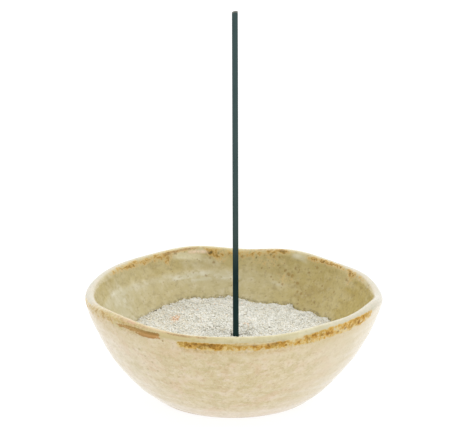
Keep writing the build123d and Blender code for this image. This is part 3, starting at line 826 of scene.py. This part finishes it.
def glaze_material():
    t = Tree("glazed_stoneware")
    inner, lip_a, brown_a, umber_a, thin_a, olive_a, side_sheen_a = (t.attr(n) for n in ("inner", "lip", "brown", "umber", "thin", "olive", "side_sheen"))
    rose_a, rosy_highlight_a, celadon_highlight_a, across_a, cloud_a, contact_shade_a, down_a = (t.attr(n) for n in ("rose", "rosy_highlight", "celadon_highlight", "across", "cloud", "contact_shade", "down"))
    streak_a, pale_glaze_and_light_a, bare_a, specks_a, warm_a, height_a, fringe_a = (t.attr(n) for n in ("streak", "pale_glaze_and_light", "bare", "specks", "warm", "height", "fringe"))
    broad = t.noise(15.0, 3.0, 0.6)
    drawn = t.noise(6.0, 3.5, 0.64, 0.4, stretch=(1, 1, 1.6), offset=0.31)
    drawn_small = t.noise(2.7, 2.5, 0.62, stretch=(1, 1, 1.5), offset=0.53)
    medium = t.noise(3.6, 3.0, 0.6, offset=0.41)
    small = t.noise(1.15, 2.0, 0.6, offset=0.13)
    fine = t.noise(0.5, 1.0, 0.5, offset=0.77)
    # outside: cream, drawn out round the belly in rosy and straw clouds
    def clouded(field, lo, hi, most):
        return t.maths("MULTIPLY", t.step(field, lo, hi, 0.0, most), cloud_a)

    moss = t.noise(7.0, 3.0, 0.62, 0.4, stretch=(1, 1, 1.5), offset=1.9)
    peach = t.noise(9.5, 3.0, 0.6, 0.3, stretch=(1, 1, 1.4), offset=0.67)
    out_c = t.ramp(broad, [(0.34, srgb(224, 208, 174)), (0.5, srgb(219, 203, 165)), (0.66, srgb(213, 197, 153))])
    out_c = t.mix(t.maths("MULTIPLY", warm_a, 0.58), out_c, srgb(211, 193, 145))
    out_c = t.mix(clouded(drawn, 0.50, 0.66, 0.60), out_c, srgb(228, 210, 186))
    out_c = t.mix(clouded(drawn, 0.49, 0.34, 0.58), out_c, srgb(198, 180, 128))
    out_c = t.mix(clouded(drawn_small, 0.53, 0.70, 0.46), out_c, srgb(199, 167, 123))
    out_c = t.mix(clouded(drawn_small, 0.46, 0.30, 0.38), out_c, srgb(233, 220, 196))
    out_c = t.mix(clouded(peach, 0.52, 0.66, 0.46), out_c, srgb(215, 183, 144))
    out_c = t.mix(clouded(moss, 0.54, 0.68, 0.46), out_c, srgb(193, 178, 120))
    out_c = t.mix(clouded(small, 0.52, 0.70, 0.44), out_c, srgb(184, 160, 114))
    out_c = t.mix(clouded(fine, 0.58, 0.76, 0.34), out_c, srgb(238, 226, 204))
    out_c = t.mix(t.step(height_a, 9.0, 1.5, 0.0, 0.40), out_c, srgb(230, 211, 192))
    # painted reflection: the outside greyer and less yellow towards the left and right sides
    out_c = t.mix(t.maths("MULTIPLY", side_sheen_a, 0.24), out_c, srgb(212, 202, 182))
    # inside: thin olive-khaki; greyer and paler where the pale zones lie, which are partly paler glaze and partly
    # painted light and highlights
    in_c = t.ramp(broad, [(0.34, srgb(191, 174, 110)), (0.55, srgb(184, 165, 96)), (0.7, srgb(172, 150, 80))])
    in_c = t.mix(t.step(medium, 0.46, 0.68, 0.0, 0.55), in_c, srgb(197, 182, 126))
    in_c = t.mix(t.step(drawn_small, 0.50, 0.70, 0.0, 0.45), in_c, srgb(151, 130, 74))
    in_c = t.mix(t.step(small, 0.54, 0.74, 0.0, 0.45), in_c, srgb(144, 120, 66))
    in_c = t.mix(t.step(small, 0.46, 0.28, 0.0, 0.40), in_c, srgb(198, 186, 138))
    pale_glaze_lit_colour = t.mix(t.step(medium, 0.40, 0.66), srgb(203, 195, 160), srgb(216, 210, 185))
    pale_glaze_lit_colour = t.mix(t.step(drawn_small, 0.50, 0.70, 0.0, 0.55), pale_glaze_lit_colour, srgb(186, 173, 122))
    in_c = t.mix(pale_glaze_and_light_a, in_c, pale_glaze_lit_colour)
    # painted shade: the dark contact-shadow line along the sand's edge
    in_c = t.mix(t.maths("MULTIPLY", contact_shade_a, t.step(small, 0.44, 0.54, 0.05, 0.78)), in_c, srgb(122, 110, 64))
    base = t.mix(inner, out_c, in_c)
    # lip: celadon where the glaze is thick
    lip_c = t.mix(t.step(medium, 0.40, 0.65), srgb(196, 186, 142), srgb(208, 200, 162))
    lip_c = t.mix(t.step(small, 0.50, 0.75, 0.0, 0.45), lip_c, srgb(181, 168, 120))
    # painted reflection: the lip greyer and less yellow towards the left and right sides
    lip_c = t.mix(t.maths("MULTIPLY", side_sheen_a, 0.72), lip_c, t.mix(t.step(drawn_small, 0.42, 0.60), srgb(178, 176, 160), srgb(188, 178, 163)))
    lip_c = t.mix(t.maths("MULTIPLY", t.attr("straw"), 0.76), lip_c, srgb(197, 177, 115))
    base = t.mix(t.maths("MULTIPLY", lip_a, 0.92), base, lip_c)
    n1 = t.noise(1.7, 3.0, 0.65, 0.4, offset=0.5)
    n2 = t.noise(0.62, 2.0, 0.62, offset=0.9)
    # straw and olive mottle on the front left shoulder
    mott = t.maths("ADD", t.maths("MULTIPLY", n1, 0.6), t.maths("MULTIPLY", n2, 0.4))
    shoulder = t.ramp(mott, [(0.37, srgb(206, 187, 134)), (0.47, srgb(194, 172, 114)), (0.56, srgb(178, 152, 92)), (0.64, srgb(152, 124, 68))])
    base = t.mix(t.maths("MULTIPLY", olive_a, 0.88), base, shoulder)
    fern = t.noise(3.0, 2.0, 0.6, offset=2.7)
    rosy = t.noise(2.6, 2.0, 0.6, offset=4.1)
    base = t.mix(t.maths("MULTIPLY", olive_a, t.step(fern, 0.52, 0.64, 0.0, 0.62)), base, srgb(184, 178, 108))
    base = t.mix(t.maths("MULTIPLY", olive_a, t.step(rosy, 0.52, 0.64, 0.0, 0.50)), base, srgb(216, 178, 140))
    base = t.mix(t.maths("MULTIPLY", olive_a, t.step(n2, 0.56, 0.68, 0.0, 0.45)), base, srgb(150, 122, 72))
    # where the glaze breaks thin over the edges it fires straw, ochre, then dark brown, in fine broken specks
    def broken(weight, coarse, grain):
        v = t.maths("ADD", weight, t.maths("MULTIPLY", t.maths("SUBTRACT", n1, 0.5), coarse))
        return t.maths("ADD", v, t.maths("MULTIPLY", t.maths("SUBTRACT", n2, 0.5), grain))

    base = t.mix(t.maths("MULTIPLY", fringe_a, t.step(n1, 0.36, 0.60, 0.25, 0.85), clamp=True), base, t.mix(t.step(n2, 0.42, 0.60), srgb(207, 180, 126), srgb(190, 158, 100)))
    br = broken(brown_a, 2.7, 0.9)
    gate = t.step(brown_a, 0.06, 0.26)
    cover = t.maths("MULTIPLY", t.step(br, 0.38, 0.58), gate)
    halo = t.maths("MULTIPLY", t.step(br, 0.05, 0.50, 0.0, 0.65), gate)
    base = t.mix(halo, base, srgb(205, 179, 113))
    brown_c = t.ramp(t.step(br, 0.34, 1.75), [(0.0, srgb(212, 181, 108)), (0.22, srgb(201, 157, 72)), (0.45, srgb(186, 138, 50)),
                                              (0.7, srgb(158, 113, 33)), (1.0, srgb(116, 84, 22))])
    olive_brown = t.ramp(t.step(br, 0.34, 1.2), [(0.0, srgb(196, 172, 120)), (0.5, srgb(176, 146, 92)), (1.0, srgb(150, 120, 70))])
    brown_c = t.mix(t.maths("MULTIPLY", olive_a, 0.9, clamp=True), brown_c, olive_brown)
    brown_c = t.mix(t.step(t.noise(5.0, 1.0, 0.5, offset=6.3), 0.48, 0.60, 0.0, 0.55), brown_c, t.mix(t.step(n2, 0.42, 0.58), srgb(208, 178, 104), srgb(176, 142, 62)))
    base = t.mix(cover, base, brown_c)
    # beads and runs of pale glaze left standing in the band, thickest along its lower edge
    bead = t.spots(1.5, offset=0.43, stretch=(1, 1, 0.62))
    keep = t.add("ShaderNodeSeparateColor")
    t.link(bead.outputs["Color"], keep.inputs[0])
    low_band = t.maths("MULTIPLY", t.step(down_a, 0.15, 0.85, 0.0, 0.45), 1.0)
    chosen = t.step(t.maths("ADD", keep.outputs[0], low_band), 0.62, 0.72)
    thick = t.step(brown_a, 1.15, 0.75, 0.25, 1.0)
    beads = t.maths("MULTIPLY", t.step(t.maths("ADD", bead.outputs["Distance"], t.maths("ADD", t.maths("MULTIPLY", t.maths("SUBTRACT", n2, 0.5), 0.9), t.maths("MULTIPLY", t.maths("SUBTRACT", n1, 0.5), 1.3))), 0.46, 0.28), chosen)
    beads = t.maths("MULTIPLY", beads, t.maths("MULTIPLY", gate, t.maths("MULTIPLY", thick, t.step(olive_a, 0.1, 0.5, 1.0, 0.15))))
    base = t.mix(t.maths("MULTIPLY", beads, 0.70), base, t.mix(t.step(keep.outputs[1], 0.3, 0.7), srgb(224, 194, 124), srgb(216, 194, 128)))
    # inside the lip the same breaking is darker and sparser
    um = broken(umber_a, 2.3, 1.1)
    gate_u = t.step(umber_a, 0.08, 0.36)
    cover_u = t.maths("MULTIPLY", t.step(um, 0.48, 0.76, 0.0, 0.92), gate_u)
    base = t.mix(t.maths("MULTIPLY", t.step(um, 0.12, 0.56, 0.0, 0.66), gate_u), base, srgb(212, 187, 128))
    umber_c = t.ramp(t.step(um, 0.42, 1.70), [(0.0, srgb(210, 180, 112)), (0.22, srgb(194, 156, 82)), (0.48, srgb(160, 124, 54)), (0.85, srgb(100, 82, 28))])
    base = t.mix(cover_u, base, umber_c)
    cover = t.maths("MAXIMUM", cover, cover_u)
    # painted highlights: pale celadon patches inside the far rim and on the near lip
    base = t.mix(t.maths("MULTIPLY", celadon_highlight_a, t.step(medium, 0.30, 0.55, 0.62, 1.0), clamp=True), base, t.mix(t.step(small, 0.4, 0.65), srgb(217, 207, 166), srgb(226, 217, 180)))
    # painted highlight: the pale rosy line inside the far lip
    base = t.mix(t.maths("MULTIPLY", rosy_highlight_a, t.step(n1, 0.36, 0.56, 0.45, 0.95), clamp=True), base, srgb(236, 212, 180))
    # thin drawn lines
    th = t.maths("ADD", thin_a, t.maths("MULTIPLY", t.maths("SUBTRACT", n1, 0.5), 1.0))
    base = t.mix(t.step(th, 0.30, 0.85, 0.0, 0.85), base, t.ramp(n2, [(0.36, srgb(144, 110, 58)), (0.62, srgb(194, 160, 106))]))
    base = t.mix(t.maths("MULTIPLY", rose_a, t.step(n1, 0.38, 0.58, 0.35, 1.0), clamp=True), base, srgb(206, 160, 128))
    sr = t.maths("ADD", streak_a, t.maths("MULTIPLY", t.maths("SUBTRACT", n1, 0.5), 0.9))
    sr = t.maths("ADD", sr, t.maths("MULTIPLY", t.maths("SUBTRACT", n2, 0.5), 0.7))
    rust = t.ramp(across_a, [(0.08, srgb(130, 100, 40)), (0.32, srgb(158, 114, 50)), (0.52, srgb(196, 144, 80)), (0.74, srgb(174, 122, 62)), (0.95, srgb(160, 116, 56))])
    rust = t.mix(t.step(n2, 0.42, 0.62, 0.0, 0.45), rust, srgb(190, 142, 78))
    rust = t.mix(t.maths("MULTIPLY", olive_a, 0.72), rust, t.mix(t.step(n2, 0.40, 0.60), srgb(186, 152, 92), srgb(154, 122, 62)))
    rusty = t.step(sr, 0.25, 0.60, 0.0, 0.94)
    base = t.mix(rusty, base, rust)
    cover = t.maths("MAXIMUM", cover, rusty)
    # iron specks
    v = t.spots(2.9, offset=0.21)
    pick = t.add("ShaderNodeSeparateColor")
    t.link(v.outputs["Color"], pick.inputs[0])
    size_r = t.maths("ADD", 0.06, t.maths("MULTIPLY", pick.outputs[1], 0.13))
    ragged_r = t.maths("ADD", size_r, t.maths("MULTIPLY", t.maths("SUBTRACT", fine, 0.5), 0.30))
    near_s = t.step(t.maths("SUBTRACT", ragged_r, v.outputs["Distance"]), -0.05, 0.06)
    dot = t.maths("MULTIPLY", near_s, t.step(pick.outputs[0], 0.60, 0.64))
    base = t.mix(t.maths("MULTIPLY", dot, t.maths("MULTIPLY", specks_a, 0.58)), base, srgb(142, 110, 52))
    v2 = t.spots(1.3, offset=0.63)
    pick2 = t.add("ShaderNodeSeparateColor")
    t.link(v2.outputs["Color"], pick2.inputs[0])
    dot2 = t.maths("MULTIPLY", t.step(v2.outputs["Distance"], 0.34, 0.12), t.step(pick2.outputs[1], 0.72, 0.78))
    tiny_w = t.maths("MULTIPLY", dot2, t.maths("ADD", 0.16, t.maths("MULTIPLY", specks_a, 0.36)))
    base = t.mix(tiny_w, base, srgb(148, 116, 60))

    # single marks, set one by one
    shaken = t.add("ShaderNodeVectorMath", operation="MULTIPLY_ADD")
    shake = t.add("ShaderNodeTexNoise")
    shake.inputs["Scale"].default_value = 1000.0 / 0.9
    t.link(t.coord, shake.inputs["Vector"])
    t.link(shake.outputs["Color"], shaken.inputs[0])
    shaken.inputs[1].default_value = (0.7 * MM,) * 3
    t.link(t.coord, shaken.inputs[2])

    def marks(places):
        nearest = None
        for mx, my, mz, mr in places:
            d = t.add("ShaderNodeVectorMath", operation="DISTANCE")
            t.link(shaken.outputs[0], d.inputs[0])
            d.inputs[1].default_value = ((mx + 0.35) * MM, (my + 0.35) * MM, (mz + 0.35) * MM)
            r = t.maths("DIVIDE", d.outputs["Value"], mr * MM)
            nearest = r if nearest is None else t.maths("MINIMUM", nearest, r)
        return nearest

    for places, colour, most in ((OCHRE_MARKS, srgb(146, 112, 50), 0.60), (BAND_MARKS, srgb(138, 97, 26), 0.68),
                                 (GREY_MARKS, srgb(164, 144, 104), 0.48), (DARK_MARKS, srgb(98, 80, 18), 0.66)):
        spot = t.step(marks(places), 1.5, 0.45, 0.0, most)
        base = t.mix(spot, base, colour)
        cover = t.maths("MAXIMUM", cover, spot)
    # bare clay on the foot
    clay = t.mix(t.step(small, 0.4, 0.7), srgb(190, 158, 120), srgb(168, 134, 98))
    clay = t.mix(t.step(fine, 0.55, 0.7, 0.0, 0.6), clay, srgb(206, 180, 146))
    base = t.mix(bare_a, base, clay)
    t.link(base, t.bsdf.inputs["Base Color"])
    rough = t.maths("ADD", t.step(small, 0.3, 0.7, 0.32, 0.46), t.maths("MULTIPLY", cover, 0.30))
    rough = t.maths("ADD", rough, t.maths("MULTIPLY", bare_a, 0.42), clamp=True)
    t.link(rough, t.bsdf.inputs["Roughness"])
    t.bsdf.inputs["IOR"].default_value = 1.5
    t.bsdf.inputs["Specular IOR Level"].default_value = 0.3
    t.bsdf.inputs["Coat Roughness"].default_value = 0.12
    coat = t.maths("MULTIPLY", t.maths("SUBTRACT", 1.0, bare_a), t.maths("SUBTRACT", 0.75, t.maths("MULTIPLY", cover, 0.68)))
    t.link(coat, t.bsdf.inputs["Coat Weight"])
    b = t.bump(broad, 0.25, 0.5)
    b = t.bump(medium, 0.35, 0.10, b)
    b = t.bump(small, 0.40, 0.035, b)
    b = t.bump(cover, 0.5, 0.05, b)
    t.link(b, t.bsdf.inputs["Normal"])
    return t.mat


def sand_base_material():
    t = Tree("sand_bed_material")
    n1, n2 = t.noise(0.75, 2.0, 0.6), t.noise(5.0, 2.0)
    v = t.spots(0.8)
    c = t.mix(t.step(n1, 0.35, 0.65), srgb(222, 220, 208), srgb(236, 234, 224))
    c = t.mix(t.step(v.outputs["Distance"], 0.35, 0.6, 0.0, 0.4), c, srgb(208, 203, 188))
    c = t.mix(t.step(n2, 0.4, 0.7, 0.0, 0.2), c, srgb(196, 188, 170))
    t.link(c, t.bsdf.inputs["Base Color"])
    t.link(t.step(n1, 0.3, 0.7, 0.8, 0.95), t.bsdf.inputs["Roughness"])
    t.link(t.bump(v.outputs["Distance"], 0.8, 0.25), t.bsdf.inputs["Normal"])
    return t.mat


def grain_material(name, dark, mid_c, light, rough, coat=0.0):
    t = Tree(name)
    tone_a = t.attr("tone")
    n = t.noise(0.5, 2.0, 0.6)
    mixed = t.maths("ADD", t.maths("MULTIPLY", tone_a, 0.75), t.maths("MULTIPLY", n, 0.30))
    c = t.ramp(mixed, [(0.1, dark), (0.5, mid_c), (0.9, light)])
    t.link(c, t.bsdf.inputs["Base Color"])
    t.link(t.step(n, 0.3, 0.7, rough - 0.1, rough + 0.1), t.bsdf.inputs["Roughness"])
    t.bsdf.inputs["IOR"].default_value = 1.54
    t.link(t.bump(n, 0.4, 0.05), t.bsdf.inputs["Normal"])
    return t.mat


def stick_material():
    t = Tree("pressed_incense")
    cut_a = t.attr("cut")
    sep = t.add("ShaderNodeSeparateXYZ")
    t.link(t.coord, sep.inputs[0])
    # painted shade: the stick darker below about 44–62 mm height, standing in for the shade it gets low in the bowl
    up = t.step(sep.outputs[2], 0.044, 0.062)
    n1 = t.noise(0.55, 3.0, 0.65)
    n2 = t.noise(6.0, 2.0, 0.5, stretch=(1, 1, 0.25))
    lines = t.noise(0.30, 1.0, 0.5, stretch=(1, 1, 0.03), offset=0.4)
    body = t.mix(up, srgb(23, 49, 51), srgb(63, 82, 82))
    body = t.mix(t.step(n1, 0.45, 0.75, 0.0, 0.35), body, t.mix(up, srgb(35, 61, 62), srgb(77, 97, 96)))
    body = t.mix(t.step(n2, 0.4, 0.7, 0.0, 0.3), body, t.mix(up, srgb(18, 43, 46), srgb(56, 77, 77)))
    body = t.mix(t.step(lines, 0.5, 0.7, 0.0, 0.2), body, t.mix(up, srgb(14, 35, 37), srgb(46, 65, 62)))
    body = t.mix(cut_a, body, t.mix(t.step(n1, 0.4, 0.65), srgb(112, 112, 104), srgb(84, 88, 84)))
    t.link(body, t.bsdf.inputs["Base Color"])
    t.link(t.step(n1, 0.3, 0.7, 0.72, 0.92), t.bsdf.inputs["Roughness"])
    t.bsdf.inputs["Specular IOR Level"].default_value = 0.2
    b = t.bump(n1, 0.5, 0.04)
    b = t.bump(lines, 0.3, 0.03, b)
    t.link(b, t.bsdf.inputs["Normal"])
    return t.mat


bowl.data.materials.append(glaze_material())
sand.data.materials.append(sand_base_material())
white = grain_material("grain_white", srgb(219, 218, 207), srgb(228, 227, 218), srgb(237, 236, 229), 0.55)
grain_mats = [white, white,
              grain_material("grain_grey", srgb(203, 202, 192), srgb(214, 213, 204), srgb(226, 225, 217), 0.6),
              grain_material("grain_cream", srgb(211, 205, 187), srgb(222, 216, 199), srgb(232, 227, 212), 0.6),
              grain_material("grain_dark", srgb(146, 141, 124), srgb(170, 165, 148), srgb(192, 187, 171), 0.6),
              grain_material("grain_black", srgb(74, 69, 52), srgb(100, 94, 76), srgb(128, 121, 102), 0.6),
              grain_material("grain_orange", srgb(221, 187, 152), srgb(228, 199, 170), srgb(234, 212, 190), 0.6)]
for g, gm in zip(grains, grain_mats):
    g.data.materials.append(gm)
stick.data.materials.append(stick_material())

# ------------------------------------------------------------------ bodies
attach(bowl, "bowl")
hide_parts("bowl")
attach(sand, "bowl")
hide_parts("sand_bed")
for g in grains:
    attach(g, "bowl")
    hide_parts("sand_bed")
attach(stick, "stick")
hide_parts("incense_stick")

# ------------------------------------------------------------------ stage, light, camera
floor_v = np.array([(-3, -3, 0), (3, -3, 0), (3, 3, 0), (-3, 3, 0)], float)
floor = mesh_object("studio_floor", floor_v, [np.array([[0, 1, 2, 3]])], smooth_shade=False)
fm = bpy.data.materials.new("studio_floor")
fm.use_nodes = True
fb = fm.node_tree.nodes["Principled BSDF"]
fb.inputs["Base Color"].default_value = (0.18, 0.18, 0.18, 1)
fb.inputs["Roughness"].default_value = 0.9
fb.inputs["Specular IOR Level"].default_value = 0.1
fb.inputs["Emission Color"].default_value = (1, 1, 1, 1)
fb.inputs["Emission Strength"].default_value = 0.88
floor.data.materials.append(fm)

world_s = bpy.data.worlds.new("soft_studio")
bpy.context.scene.world = world_s
world_s.use_nodes = True
bg = world_s.node_tree.nodes["Background"]
bg.inputs["Strength"].default_value = 1.0
# a light tent: bright overhead and behind, where the white backdrop rises, dim in front
wn = world_s.node_tree


def world_node(kind, **props):
    n = wn.nodes.new(kind)
    for key, val in props.items():
        setattr(n, key, val)
    return n


def world_step(value, lo, hi, to_lo, to_hi):
    n = world_node("ShaderNodeMapRange", interpolation_type="SMOOTHSTEP")
    wn.links.new(value, n.inputs["Value"])
    for sock, val in zip(n.inputs[1:5], (lo, hi, to_lo, to_hi)):
        sock.default_value = val
    return n.outputs[0]


def world_maths(op, x, y):
    n = world_node("ShaderNodeMath", operation=op)
    wn.links.new(x, n.inputs[0])
    wn.links.new(y, n.inputs[1])
    return n.outputs[0]


wc = world_node("ShaderNodeTexCoord")
ws = world_node("ShaderNodeSeparateXYZ")
wn.links.new(wc.outputs["Generated"], ws.inputs[0])
overhead = world_step(ws.outputs[2], 0.10, 0.75, TENT_LOW, TENT_TOP)
behind = world_step(ws.outputs[1], -0.05, 0.85, 0.0, TENT_BACK)
level_w = world_maths("ADD", overhead, behind)
wm = world_node("ShaderNodeCombineColor")
for ch in range(3):
    wn.links.new(level_w, wm.inputs[ch])
wn.links.new(wm.outputs[0], bg.inputs["Color"])


def area(name, at_mm, look_mm, size_m, watts):
    l = bpy.data.lights.new(name, "AREA")
    l.shape = "SQUARE"
    l.size = size_m
    l.energy = watts
    o = bpy.data.objects.new(name, l)
    bpy.context.scene.collection.objects.link(o)
    o.location = Vector(at_mm) * MM
    o.rotation_euler = (Vector(look_mm) * MM - o.location).to_track_quat("-Z", "Y").to_euler()
    return o


area("soft_right", (950, -150, 620), (0, 0, 30), 1.1, 2.6)
area("soft_left", (-950, 100, 560), (0, 0, 30), 1.1, 1.0)

p = math.radians(16.1066)
DIST = 1047.62
cam = bpy.data.cameras.new("camera")
cam.sensor_width = 36.0
cam.lens = 2876.52 * 36.0 / 470.0
cam.clip_start = 0.01
cam.clip_end = 50.0
cam_o = bpy.data.objects.new("camera", cam)
bpy.context.scene.collection.objects.link(cam_o)
cam_o.location = (0.578 * MM, -DIST * math.cos(p) * MM, (68.865 + DIST * math.sin(p)) * MM)
cam_o.rotation_euler = (math.pi / 2 - p, 0, 0)
bpy.context.scene.camera = cam_o

sc = bpy.context.scene
sc.view_settings.view_transform = "Standard"
sc.view_settings.look = "None"
sc.cycles.max_bounces = 8
sc.cycles.diffuse_bounces = 5
sc.cycles.glossy_bounces = 4
